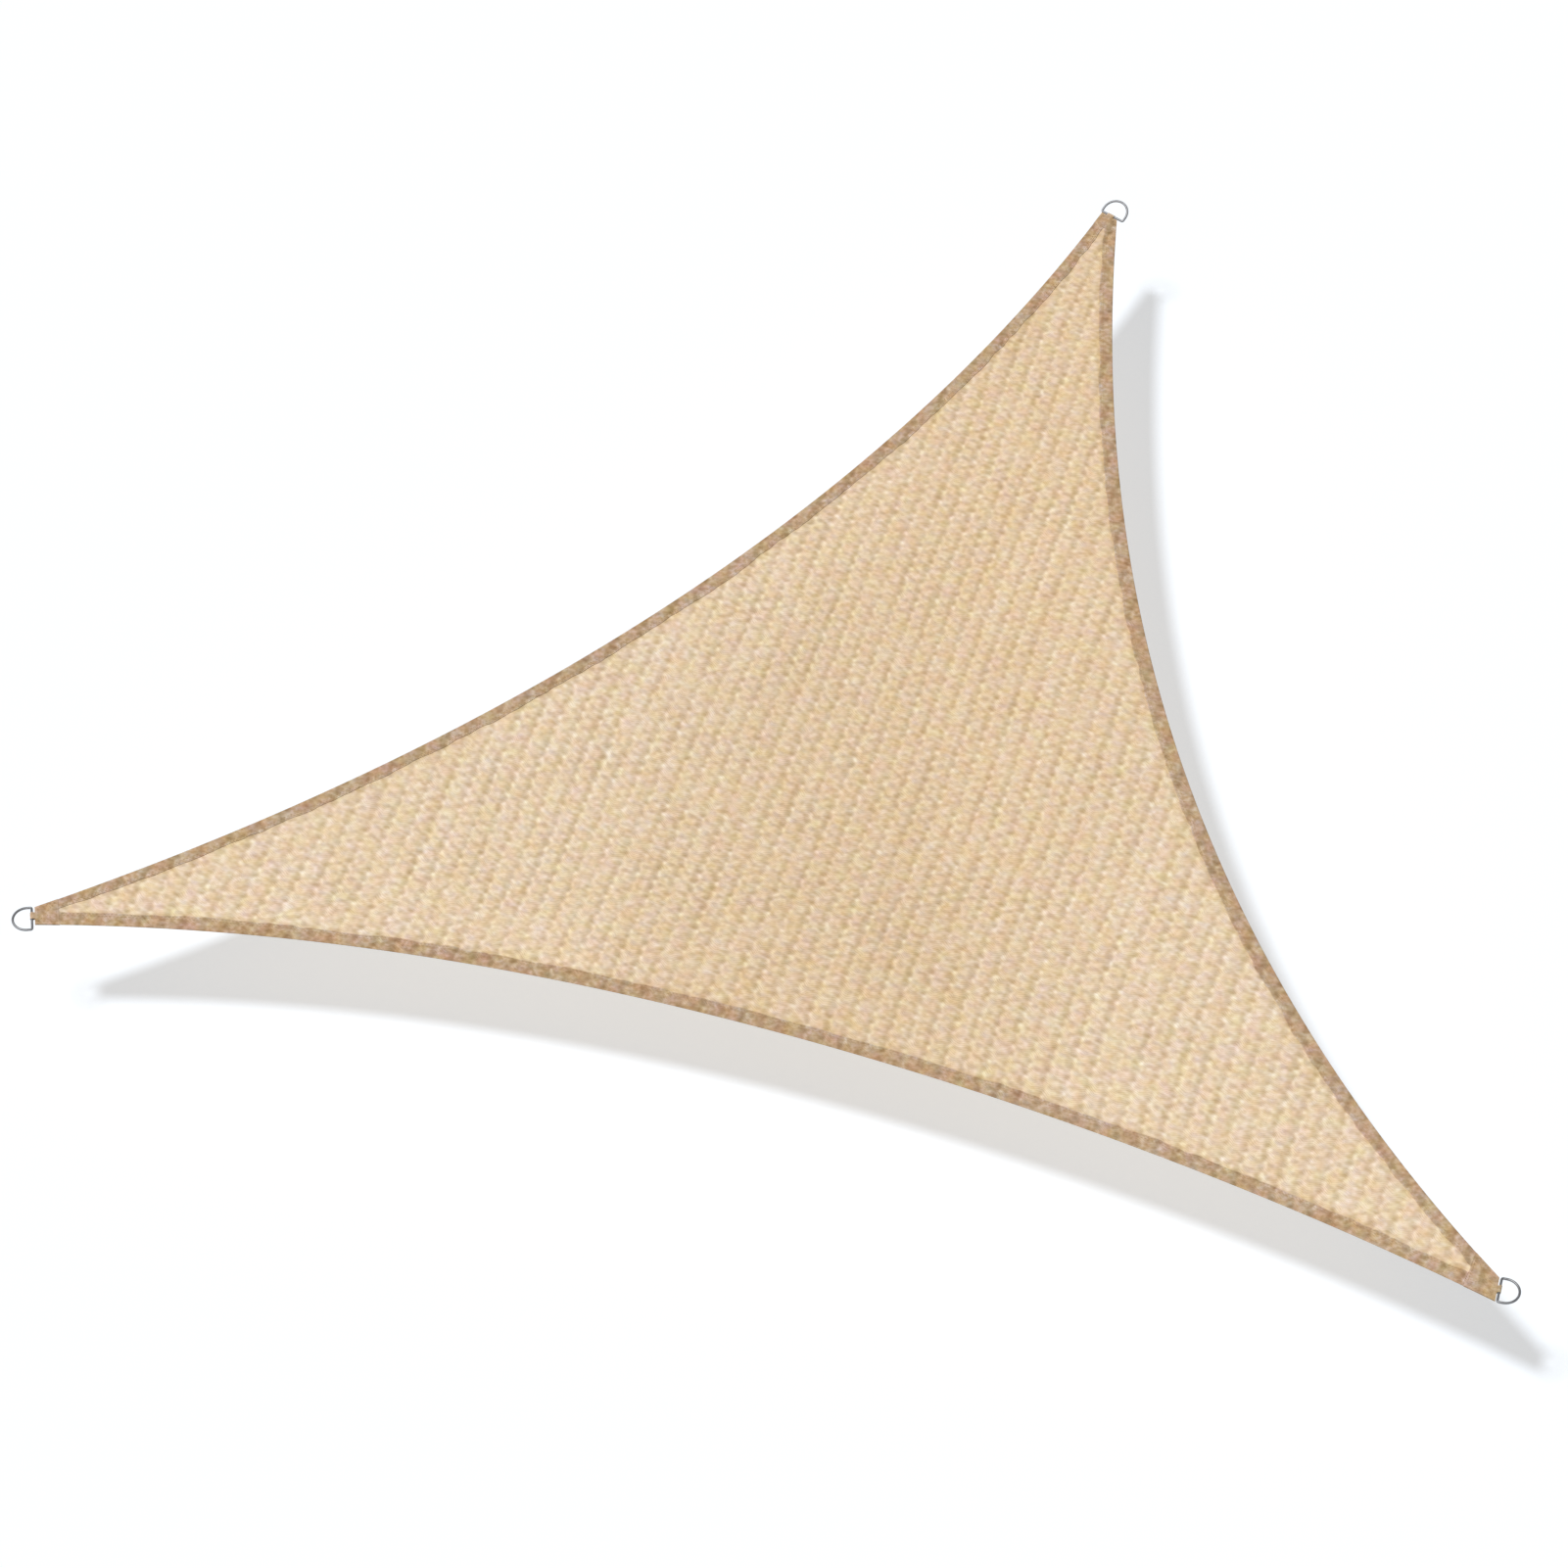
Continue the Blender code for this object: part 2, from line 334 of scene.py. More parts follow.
clear_selection()
bpy.ops.mesh.primitive_plane_add(size=FLOOR_SIZE, location=(1.8, 1.0, FLOOR_LEVEL))
floor = bpy.context.object
floor.name = "floor"
floor_finish, tree, surface = new_finish("white studio floor")
tree.links.new(add_node(tree, "ShaderNodeBsdfPrincipled", {
    "Base Color": linear("#ACB3BB"), "Roughness": 0.9, "Specular IOR Level": 0.0,
    "Emission Color": linear("#FFFFFF"), "Emission Strength": FLOOR_GLOW}), surface)
floor.data.materials.append(floor_finish)

sun_data = bpy.data.lights.new("soft_sun", "SUN")
sun_data.energy = SUN_STRENGTH
sun_data.angle = SUN_WIDTH
sun = bpy.data.objects.new("soft_sun", sun_data)
sun.rotation_euler = SUN_PATH.to_track_quat("-Z", "Y").to_euler()
bpy.context.scene.collection.objects.link(sun)

world = bpy.data.worlds.new("white_sky")
world.use_nodes = True
world.node_tree.nodes.clear()
sky = world.node_tree
seen = add_node(sky, "ShaderNodeLightPath", out="Is Camera Ray")
strength = add_node(sky, "ShaderNodeMapRange", {"Value": seen, "To Min": SKY_LIGHT, "To Max": SKY_SEEN})
light = add_node(sky, "ShaderNodeBackground", {"Color": linear("#FFFFFF"), "Strength": strength})
sky.links.new(light, sky.nodes.new("ShaderNodeOutputWorld").inputs["Surface"])
bpy.context.scene.world = world
bpy.context.scene.view_settings.view_transform = "Standard"
print(f"floor {-FLOOR_LEVEL * 1000:.0f} mm below the sail, sun {math.degrees(SUN_WIDTH):.0f} degrees wide")


# %% [markdown]
# ## Finishes: knitted cloth and edge tape
#
# The cloth is warp-knitted polyethylene yarn, laid up as ribs of chain stitches that run towards the far
# corner. In the valley between two ribs the yarn lies in its own shadow, darkest at a small eye in every
# stitch. Half a stitch on from each eye a loop of yarn catches the light beside the valley, and level with
# that loop lies the greyer yarn that crosses underneath. Those five shades, laid out in one stitch, are the
# whole pattern. They could be painted, but a recipe stays sharp at any size and never repeats.
#
# The edge tape is the same knit in a darker tan, cut with its ribs the same way, so both finishes share one
# recipe and differ in their colours and in how blotchy they are. Both come from the loom a little uneven:
# the light, the hue and the clearness of the knit drift from patch to patch. A painted sheen also turns the
# cloth greyer towards both sides and a little lighter up and down.
#
# Real ribs are only a few millimetres apart, too fine for the picture, so they are drawn as the picture
# shows them: 49 mm apart, with a stitch every 34 mm, each rib a quarter of a stitch out of step with the
# last. The pattern reads a UV map that holds the place on the flat cut cloth, in metres, so that it follows
# the uneven stretch of the cloth. An attribute, hem_shade, says how much lighter or darker the yarn is there:
# the tape's frayed hems are pale, the tongues round the rings' bars are paler still, and the cloth beside a
# band lies in its shade.

# %% Scale of the knit
RIB = 0.0488               # metres from one rib to the next
COURSE = 0.0345            # metres from one stitch of a rib to the next
STAGGER = 0.24             # of a stitch, by which each rib is out of step with the last
YARN_SHIFT = 0.016         # metres, by which uneven yarn pulls the pattern about
YARN_SHIFTS = 30.0         # to a metre: one every 33 mm, about a stitch
TURN = 2 * math.pi


# %% Knitted yarn: place within a stitch
def stitch_place(tree):
    """The place on the flat cloth, the ribs up to it and the turn of its course; uneven yarn shifts both."""
    place = add_node(tree, "ShaderNodeUVMap", uv_map="flat_cut")
    uneven = add_node(tree, "ShaderNodeTexNoise", {"Vector": place, "Scale": YARN_SHIFTS, "Detail": 1.0},
                      out="Color")
    shift = add_node(tree, "ShaderNodeVectorMath", {0: uneven, 1: (0.5, 0.5, 0.5)}, operation="SUBTRACT")
    pulled = add_node(tree, "ShaderNodeVectorMath", {0: shift, 1: (YARN_SHIFT, YARN_SHIFT, 0), 2: place},
                      operation="MULTIPLY_ADD")
    across = add_node(tree, "ShaderNodeSeparateXYZ", {0: pulled})
    along = across.node.outputs["Y"]
    ribs = add_node(tree, "ShaderNodeMath", {0: across, 1: 1 / RIB}, operation="MULTIPLY")
    stepped = add_node(tree, "ShaderNodeMath", {0: ribs, 1: STAGGER}, operation="MULTIPLY")
    courses = add_node(tree, "ShaderNodeMath", {0: along, 1: 1 / COURSE, 2: stepped},
                       operation="MULTIPLY_ADD")
    return place, ribs, add_node(tree, "ShaderNodeMath", {0: courses, 1: TURN}, operation="MULTIPLY")


# %% Knitted yarn: parts of a stitch
# across a rib, in shares of a rib: each part fades from nothing to full over the distance from its middle
VALLEY_SIDE = (0.317, 0.03)
VALLEY_SWAY = 0.06
LOOP_PLACE = 0.172         # from the valley to the middle of the loops
LOOP_SIDE = (0.185, 0.02)
CROSSING_SIDE = (0.10, 0.49)
# along a rib, in the cosine of the course's turn: 1 level with an eye, -1 half a stitch away
EYE_RISE = (-0.24, 1.0)
LOOP_RISE = (0.5, -1.0)
CROSSING_RISE = (0.2, -1.0)
STRANDS = 6                # to a course
# fine waves of light: turns to a rib, turns to a course, start of the wave, strength
LEG_WAVES = ((1, 2, -1.18, 0.023), (-3, 1, -1.9, 0.018), (0, 2, -1.36, 0.019))


def soft_step(tree, value, start, end):
    """A smooth step from 0 at start to 1 at end."""
    return add_node(tree, "ShaderNodeMapRange", {"Value": value, "From Min": start, "From Max": end},
                    interpolation_type="SMOOTHSTEP")


def stitch_parts(tree, ribs, course_turn):
    """How far a place belongs to the crossing, the loop, the valley and the eye of its stitch."""
    eye_row = add_node(tree, "ShaderNodeMath", {0: course_turn}, operation="COSINE")
    beyond_half = add_node(tree, "ShaderNodeMath", {0: ribs, 1: 0.5}, operation="ADD")
    in_rib = add_node(tree, "ShaderNodeMath", {0: beyond_half}, operation="FRACT")
    from_valley = add_node(tree, "ShaderNodeMath", {0: in_rib, 1: 0.5}, operation="SUBTRACT")
    # the valley sways to the left between its eyes
    sway = add_node(tree, "ShaderNodeMath", {0: eye_row, 1: -VALLEY_SWAY, 2: VALLEY_SWAY},
                    operation="MULTIPLY_ADD")
    swayed = add_node(tree, "ShaderNodeMath", {0: from_valley, 1: sway}, operation="ADD")
    beside_valley = add_node(tree, "ShaderNodeMath", {0: swayed}, operation="ABSOLUTE")
    valley = soft_step(tree, beside_valley, *VALLEY_SIDE)
    eye = add_node(tree, "ShaderNodeMath", {0: valley, 1: soft_step(tree, eye_row, *EYE_RISE)},
                   operation="MULTIPLY")
    to_loop = add_node(tree, "ShaderNodeMath", {0: from_valley, 1: LOOP_PLACE}, operation="SUBTRACT")
    beside_loop = add_node(tree, "ShaderNodeMath", {0: to_loop}, operation="ABSOLUTE")
    loop = add_node(tree, "ShaderNodeMath", {0: soft_step(tree, beside_loop, *LOOP_SIDE),
                                             1: soft_step(tree, eye_row, *LOOP_RISE)}, operation="MULTIPLY")
    beside_rib = add_node(tree, "ShaderNodeMath", {0: from_valley}, operation="ABSOLUTE")
    crossing = add_node(tree, "ShaderNodeMath", {0: soft_step(tree, beside_rib, *CROSSING_SIDE),
                                                 1: soft_step(tree, eye_row, *CROSSING_RISE)},
                        operation="MULTIPLY")
    return crossing, loop, valley, eye


def stitch_strands(tree, ribs, course_turn):
    """The strands of a chain stitch, slanting to both sides of their rib, from -1 between them to 1."""
    side = add_node(tree, "ShaderNodeMath", {0: ribs, 1: 0.5}, operation="PINGPONG")
    slant = add_node(tree, "ShaderNodeMath", {0: side, 1: 4 * TURN}, operation="MULTIPLY")
    turn = add_node(tree, "ShaderNodeMath", {0: course_turn, 1: STRANDS, 2: slant}, operation="MULTIPLY_ADD")
    return add_node(tree, "ShaderNodeMath", {0: turn}, operation="SINE")


def stitch_legs(tree, ribs, course_turn):
    """Light on the legs of the stitches: fine slanting waves, so many to a rib and to a course."""
    light = 1.0
    for to_rib, to_course, start, strength in LEG_WAVES:
        sideways = add_node(tree, "ShaderNodeMath", {0: ribs, 1: to_rib * TURN, 2: start},
                            operation="MULTIPLY_ADD")
        slant = add_node(tree, "ShaderNodeMath", {0: course_turn, 1: to_course, 2: sideways},
                         operation="MULTIPLY_ADD")
        wave = add_node(tree, "ShaderNodeMath", {0: slant}, operation="COSINE")
        light = add_node(tree, "ShaderNodeMath", {0: wave, 1: strength, 2: light}, operation="MULTIPLY_ADD")
    return light


# %% Knitted yarn: patches, tints and grain
# blotches to a metre, across and along the ribs
PATCHES = (10, 7)          # 100 x 140 mm, where the knit shows more or less clearly
TINTS = (24, 20)           # 42 x 50 mm, where the yarn's hue changes a little
# painted sheen: where it is least, and how far from there it starts and ends, in metres
SHEEN_MIDDLE = (1.92, 0.95)
SHEEN_SIDEWAYS = (0.10, 0.85)
SHEEN_UPWARDS = (0.25, 1.10)
SHEEN_LIGHT = 0.035


def blotches(tree, place, scale, low, high, detail=2.0, second=False):
    """A soft noise from low to high, so many blotches to a metre; second gives another of the same size."""
    spot = add_node(tree, "ShaderNodeMapping", {"Vector": place, "Scale": (*scale, 1)})
    field = add_node(tree, "ShaderNodeTexNoise", {"Vector": spot, "Scale": 1.0, "Detail": detail},
                     out="Color" if second else 0)
    if second:
        field = add_node(tree, "ShaderNodeSeparateXYZ", {0: field}, out="Z")
    return add_node(tree, "ShaderNodeMapRange", {"Value": field, **NOISE_RANGE,
                                                 "To Min": low, "To Max": high})


def yarn_tint(tree, place, red, blue):
    """A slight change of hue from patch to patch: redder where green is less, deeper where blue is less."""
    redder = blotches(tree, place, TINTS, 1 - red, 1 + red)
    deeper = blotches(tree, place, TINTS, 1 - blue, 1 + blue, second=True)
    both = add_node(tree, "ShaderNodeMath", {0: redder, 1: deeper}, operation="MULTIPLY")
    return add_node(tree, "ShaderNodeCombineXYZ", {"X": 1.0, "Y": redder, "Z": both})


def painted_sheen(tree, place, gain):
    """Painted sheen away from the cloth's middle: greyer to both sides, a little lighter up and down."""
    across = add_node(tree, "ShaderNodeSeparateXYZ", {0: place})
    far = []
    for part, middle, reach in zip((across, across.node.outputs["Y"]), SHEEN_MIDDLE,
                                   (SHEEN_SIDEWAYS, SHEEN_UPWARDS)):
        offset = add_node(tree, "ShaderNodeMath", {0: part, 1: middle}, operation="SUBTRACT")
        away = add_node(tree, "ShaderNodeMath", {0: offset}, operation="ABSOLUTE")
        far.append(soft_step(tree, away, *reach))
    greyer = add_node(tree, "ShaderNodeMix", {0: far[0], 6: (1, 1, 1, 1), 7: (*gain, 1)}, out=2,
                      data_type="RGBA")
    lighter = add_node(tree, "ShaderNodeMath", {0: far[1], 1: SHEEN_LIGHT, 2: 1.0}, operation="MULTIPLY_ADD")
    return add_node(tree, "ShaderNodeVectorMath", {0: greyer, "Scale": lighter}, operation="SCALE")


# %% Knitted yarn: the whole finish
# light reaches the deep places only off other yarn, so the darker a place is, the more tan it turns
DEPTH_TINT = (-0.30, 0.0, 0.66)
STRAND_LIGHT = 0.035
# heights for the bump, in shares of its distance
EYE_HEIGHT = -0.8
GRAIN_HEIGHT = 2.0
STRAND_HEIGHT = 0.5


def knitted_finish(name, ground, shades, contrast, hue, slow, fine, painted_sheen_gain):
    """A knit of one yarn.

    shades are amount and colour of crossing, loop, valley and eye. contrast is how clearly they show, from
    the faintest patch to the clearest. hue is the change of red and of blue. slow and fine are blotches to
    a metre, then the least and the greatest light. painted_sheen_gain is the gain of red, green and blue of
    the painted sheen towards the sides.
    """
    finish, tree, surface = new_finish(name)
    place, ribs, course_turn = stitch_place(tree)
    crossing, loop, valley, eye = stitch_parts(tree, ribs, course_turn)
    patch = blotches(tree, place, PATCHES, *contrast)
    colour = add_node(tree, "ShaderNodeMix", {0: 0.0, 6: linear(ground)}, out=2, data_type="RGBA")
    for part, (amount, code) in zip((crossing, loop, valley, eye), shades):
        full = add_node(tree, "ShaderNodeMath", {0: part, 1: amount}, operation="MULTIPLY")
        here = add_node(tree, "ShaderNodeMath", {0: full, 1: patch}, operation="MULTIPLY")
        colour = add_node(tree, "ShaderNodeMix", {0: here, 6: colour, 7: linear(code)}, out=2,
                          data_type="RGBA")
    # the first gain is the yarn's own hue, the second is painted sheen
    for gain in (yarn_tint(tree, place, *hue), painted_sheen(tree, place, painted_sheen_gain)):
        colour = add_node(tree, "ShaderNodeVectorMath", {0: colour, 1: gain}, operation="MULTIPLY")
    # single threads and their twist, 10 to 20 mm here for the same reason as the ribs
    grain = blotches(tree, place, *fine, detail=1.0)
    strands = stitch_strands(tree, ribs, course_turn)
    strand_light = add_node(tree, "ShaderNodeMath", {0: strands, 1: STRAND_LIGHT, 2: 1.0},
                            operation="MULTIPLY_ADD")
    hem = add_node(tree, "ShaderNodeAttribute", out="Fac", attribute_name="hem_shade")
    light = add_node(tree, "ShaderNodeMath", {0: hem, 1: 1.0}, operation="ADD")
    for part in (grain, blotches(tree, place, *slow), stitch_legs(tree, ribs, course_turn), strand_light):
        light = add_node(tree, "ShaderNodeMath", {0: light, 1: part}, operation="MULTIPLY")
    warmth = add_node(tree, "ShaderNodeVectorMath", {0: light, 1: DEPTH_TINT, 2: [1 - c for c in DEPTH_TINT]},
                      operation="MULTIPLY_ADD")
    for gain in (light, warmth):
        colour = add_node(tree, "ShaderNodeVectorMath", {0: colour, 1: gain}, operation="MULTIPLY")
    height = loop
    for part, amount in ((eye, EYE_HEIGHT), (grain, GRAIN_HEIGHT), (strands, STRAND_HEIGHT)):
        height = add_node(tree, "ShaderNodeMath", {0: part, 1: amount, 2: height}, operation="MULTIPLY_ADD")
    bump = add_node(tree, "ShaderNodeBump", {"Height": height, "Strength": 0.5, "Distance": 0.0010})
    tree.links.new(add_node(tree, "ShaderNodeBsdfPrincipled", {
        "Base Color": colour, "Roughness": 0.82, "IOR": 1.5, "Sheen Weight": 0.1,
        "Sheen Roughness": 0.5, "Normal": bump}), surface)
    print(f"{name}: {len(tree.nodes)} nodes")
    return finish


# %% Knitted cloth and edge tape
knit = knitted_finish(
    "knitted polyethylene yarn", "#E0C5A2",
    ((0.86, "#C9AF94"), (0.62, "#F2DDBA"), (0.50, "#B89C76"), (0.36, "#A0845A")),
    contrast=(0.40, 0.97), hue=(0.06, 0.12), slow=((14, 1.2), 0.965, 1.035),
    fine=((56, 72), 0.87, 1.13), painted_sheen_gain=(1.06, 1.10, 1.17))
tape = knitted_finish(
    "knitted tape in darker yarn", "#BD9E7D",
    ((0.86, "#A88E75"), (0.62, "#D2B99A"), (0.60, "#947854"), (0.45, "#80653F")),
    contrast=(0.35, 0.90), hue=(0.11, 0.17), slow=((16, 16), 0.90, 1.10),
    fine=((85, 95), 0.78, 1.22), painted_sheen_gain=(1.02, 1.03, 1.05))


# %% [markdown]
# ## Finish: thread
#
# Bonded polyester thread in the tape's own colour. It has a slight gloss from its coating, and its twist
# shows as small spots of light and shade.

# %% Sewing thread
TWIST = 1600               # to a metre: 0.6 mm, two thirds of the thread's thickness

thread, tree, surface = new_finish("bonded polyester thread")
spot = add_node(tree, "ShaderNodeTexCoord", out="Object")
twist_place = add_node(tree, "ShaderNodeMapping", {"Vector": spot, "Scale": (TWIST, TWIST, TWIST)})
twist = add_node(tree, "ShaderNodeTexNoise", {"Vector": twist_place, "Scale": 1.0, "Detail": 1.0})
twist_mix = add_node(tree, "ShaderNodeMapRange", {"Value": twist, **NOISE_RANGE})
colour = add_node(tree, "ShaderNodeMix", {0: twist_mix, 6: linear("#8E7350"), 7: linear("#B0946C")},
                  out=2, data_type="RGBA")
bump = add_node(tree, "ShaderNodeBump", {"Height": twist, "Strength": 0.3, "Distance": 0.0002})
tree.links.new(add_node(tree, "ShaderNodeBsdfPrincipled", {
    "Base Color": colour, "Roughness": 0.5, "IOR": 1.57, "Normal": bump}), surface)
print(f"{thread.name}: {len(tree.nodes)} nodes")


# %% [markdown]
# ## Finish: steel wire
#
# The rings are bent from drawn stainless wire and tumbled, which leaves a satin surface with fine marks
# along it and a slightly uneven gloss. A metal takes its look from its colour and what it mirrors.

# %% Stainless steel
MARKS = (700, 700, 2500)   # to a metre: 1.4 mm long in the plane of the rings, 0.4 mm high
DULL_SPOTS = (80, 80, 80)  # to a metre: 12 mm

steel, tree, surface = new_finish("tumbled stainless wire")
spot = add_node(tree, "ShaderNodeTexCoord", out="Object")
mark_place = add_node(tree, "ShaderNodeMapping", {"Vector": spot, "Scale": MARKS})
marks = add_node(tree, "ShaderNodeTexNoise", {"Vector": mark_place, "Scale": 1.0, "Detail": 3.0})
dull_place = add_node(tree, "ShaderNodeMapping", {"Vector": spot, "Scale": DULL_SPOTS})
dull = add_node(tree, "ShaderNodeTexNoise", {"Vector": dull_place, "Scale": 1.0, "Detail": 2.0})
gloss = add_node(tree, "ShaderNodeMapRange", {"Value": dull, **NOISE_RANGE, "To Min": 0.48, "To Max": 0.64})
shade = add_node(tree, "ShaderNodeMapRange", {"Value": dull, **NOISE_RANGE})
colour = add_node(tree, "ShaderNodeMix", {0: shade, 6: linear("#8A8A8C"), 7: linear("#A0A0A2")},
                  out=2, data_type="RGBA")
bump = add_node(tree, "ShaderNodeBump", {"Height": marks, "Strength": 0.15, "Distance": 0.0002})
tree.links.new(add_node(tree, "ShaderNodeBsdfPrincipled", {
    "Base Color": colour, "Metallic": 1.0, "Roughness": gloss, "Normal": bump}), surface)
print(f"{steel.name}: {len(tree.nodes)} nodes")


# %% [markdown]
# ## The cloth panel
#
# The panel could be filled in from its outline, but then its cells would be of any shape. So it is cut from
# a flat grid whose cells follow the ribs and courses of the knit, eight to a rib and five to every two
# stitches, so that the swell of a rib is real geometry. Cells outside the sail are deleted, and the ragged
# rim that is left is pulled out onto the cut line, which lies inside the folded bands.
#
# Then the panel gets its shape: it hangs 35 mm low in the middle, and the knit swells up at each rib and
# sinks at each eye. Near the bands the swell fades, since the tape presses it flat.

# %% Place on the knit
RELIEF = 0.0004            # metres, from the middle height to the top of a rib
RIB_SWELL, EYE_DIP = 0.6, 0.4
STRETCH = 0.030            # metres, by which stretching has shifted the cloth at most
STRETCH_WAVES = 1.2        # to a metre


def ease(share):
    """Smooth step from 0 to 1."""
    share = min(max(share, 0), 1)
    return share * share * (3 - 2 * share)


def flat_place(x, y):
    """Where a point of the stretched panel lay on the flat cloth: stretching has shifted it unevenly."""
    slow = Vector((x * STRETCH_WAVES, y * STRETCH_WAVES, 5.3))
    return (x + STRETCH * noise.noise(slow), y + STRETCH * noise.noise(slow + Vector((7, 3, 0))))


def swell(flat_x, flat_y):
    """Height of the knit there: high in the middle of a rib, low at an eye."""
    rib = flat_x / RIB
    course = flat_y / COURSE + STAGGER * rib
    valley = math.cos(TURN * rib)
    return -RELIEF * (RIB_SWELL * valley + EYE_DIP * max(valley, 0) * math.cos(TURN * course))


# %% Place of a hem
# these bands look that much narrower than their solids, in metres
HEM_TRIM = {"upper": 0.0, "right": 0.0018, "lower": 0.0024}


def hem_line(edge, share):
    """How far a band's inner hem lies from its fold."""
    return band_width(edge, share) - HEM_TRIM[edge]


# %% Cut the panel
CELL_ACROSS = RIB / 8
CELL_ALONG = COURSE * 0.4
LEFT_SIDE, RIGHT_SIDE = 0.02, 3.66
LOW_SIDE, HIGH_SIDE = 0.0, 3.16
SLIVER = 2e-6              # square metres: cells that the cut leaves smaller are dropped

cells_across = round((RIGHT_SIDE - LEFT_SIDE) / CELL_ACROSS)
cells_along = round((HIGH_SIDE - LOW_SIDE) / CELL_ALONG)
clear_selection()
bpy.ops.mesh.primitive_grid_add(x_subdivisions=cells_across, y_subdivisions=cells_along, size=1)
panel = bpy.context.object
bpy.ops.object.mode_set(mode="EDIT")
bpy.ops.transform.resize(value=(cells_across * CELL_ACROSS, cells_along * CELL_ALONG, 1))
bpy.ops.transform.translate(value=(LEFT_SIDE + cells_across * CELL_ACROSS / 2,
                                   LOW_SIDE + cells_along * CELL_ALONG / 2, 0))
bpy.ops.mesh.select_all(action="DESELECT")
mesh = bmesh.from_edit_mesh(panel.data)


def cloth_room(point):
    """How far a point lies inside the cut line of the cloth, and the way out across the nearest part."""
    nearest, out = math.inf, Vector()
    for edge in EDGES:
        distance = inside(edge, point)[1] - HALF_STACK
        if distance < nearest:
            nearest, out = distance, -FRAMES[edge][2]
    for corner in CORNERS:
        way = heading(ring_heading(corner))
        distance = (tab_end(corner) - way * CLOTH_TIP - point).dot(way)
        if distance < nearest:
            nearest, out = distance, way
    return nearest, out


for vert in mesh.verts:
    vert.select = cloth_room(vert.co)[0] < 0
bmesh.update_edit_mesh(panel.data)
bpy.ops.mesh.delete(type="VERT")
mesh = bmesh.from_edit_mesh(panel.data)
for vert in [vert for vert in mesh.verts if vert.is_boundary]:
    for step in range(3):
        room, out = cloth_room(vert.co)
        vert.co += out * room
slivers = [face for face in mesh.faces if face.calc_area() < SLIVER]
bmesh.ops.delete(mesh, geom=slivers, context="FACES")
bmesh.update_edit_mesh(panel.data)
bpy.ops.object.mode_set(mode="OBJECT")
print(f"panel: {cells_across} x {cells_along} cells, {len(panel.data.polygons)} left, {len(slivers)} slivers")

# %% Shape the panel
PRESSED = 0.020            # metres beside a band, over which the knit swells up to its full height
HEM_RUN = 0.011            # metres beside a hem, over which the yarn is darker or paler
SHADE_BY_HEM = -0.12

mesh = bmesh.new()
mesh.from_mesh(panel.data)
flat_cut = mesh.loops.layers.uv.verify()
hem_shade = mesh.verts.layers.float.new("hem_shade")
for vert in mesh.verts:
    x, y = flat_place(vert.co.x, vert.co.y)
    depth, pressed, shade = DIP, 1.0, 0.0
    for edge in EDGES:
        share, distance = inside(edge, vert.co)
        slope = math.hypot(1, rise(edge, share) / FRAMES[edge][1].length)
        depth *= ease((distance * slope - DIP_START) / DIP_RUN)
        beyond = distance - hem_line(edge, min(max(share, 0), 1))
        pressed *= ease(beyond / PRESSED)
        shade = max(shade, ease(1 - beyond / HEM_RUN))
    vert.co.z = -depth + swell(x, y) * pressed
    vert[hem_shade] = SHADE_BY_HEM * shade
    for loop in vert.link_loops:
        loop[flat_cut].uv = (x, y)
mesh.to_mesh(panel.data)
mesh.free()
panel.data.uv_layers[0].name = "flat_cut"
flat_area = sum(face.area for face in panel.data.polygons)
thicken(panel, CLOTH, even=False)
panel = finish_piece(panel, "sail_cloth_knit", knit, "cloth", "sail_cloth")
print(f"area of the panel: {flat_area:.3f} m2")


# %% [markdown]
# ## The bands
#
# Each band is one long strip of tape, folded lengthwise over the cut edge of the cloth. A curve could sweep
# one folded section along the edge, but the band is wider in the middle and its hem wanders. So it starts as
# a flat grid, which is then laid along the edge: the grid's length follows the bow and its width goes over
# the cloth, round the fold and back under it. Real tape is never quite straight, so its inner hem wanders by
# two or three millimetres, and it puckers a little between stitches. Its ends are cut off where the tabs
# start. Its UV map holds the place on the flat cloth below it, so its ribs go on where the cloth's ribs end.

# %% Fold a band
BAND_CELLS = 440           # along a band
LAYER_CELLS = 8            # across each of its layers
FOLD_CELLS = 8             # round its fold
HEM_SEED = {"upper": 11, "right": 23, "lower": 37}
# metres, and waves to the length of a band
SLOW_WANDER, SLOW_WAVES = 0.0032, 38
QUICK_WANDER, QUICK_WAVES = 0.0036, 110
PUCKER, PUCKER_WAVES = 0.0005, 260
PALE_BY_HEM = 0.13
DARK_WITHIN = -0.05        # further in than two times HEM_RUN


def hem_wander(edge, share, side):
    """How far a band's hem strays from its line."""
    seed = HEM_SEED[edge] + side
    slow = noise.noise(Vector((share * SLOW_WAVES, seed, 0.5)))
    quick = noise.noise(Vector((share * QUICK_WAVES, seed, 4.5)))
    return SLOW_WANDER * slow + QUICK_WANDER * quick


def band_place(edge, share, across):
    """Point of the tape at a share of its length and a cell line across it."""
    if across <= LAYER_CELLS or across >= LAYER_CELLS + FOLD_CELLS:
        upper = across <= LAYER_CELLS
        hem = 1 - across / LAYER_CELLS if upper else (across - LAYER_CELLS - FOLD_CELLS) / LAYER_CELLS
        reach = (hem_line(edge, share) - HALF_STACK) * hem
        stray = hem_wander(edge, share, 0 if upper else 5) * hem
        pucker = PUCKER * hem * (0.5 + noise.noise(Vector((share * PUCKER_WAVES, 3 if upper else 9, 1))))
        height = LAYER_HEIGHT + max(pucker, 0)
        inset = HALF_STACK + reach + stray
        return edge_point(edge, share, inset) + Vector((0, 0, height if upper else -height))
    turn = math.pi * (across - LAYER_CELLS) / FOLD_CELLS
    inset = HALF_STACK - LAYER_HEIGHT * math.sin(turn)
    return edge_point(edge, share, inset) + Vector((0, 0, LAYER_HEIGHT * math.cos(turn)))


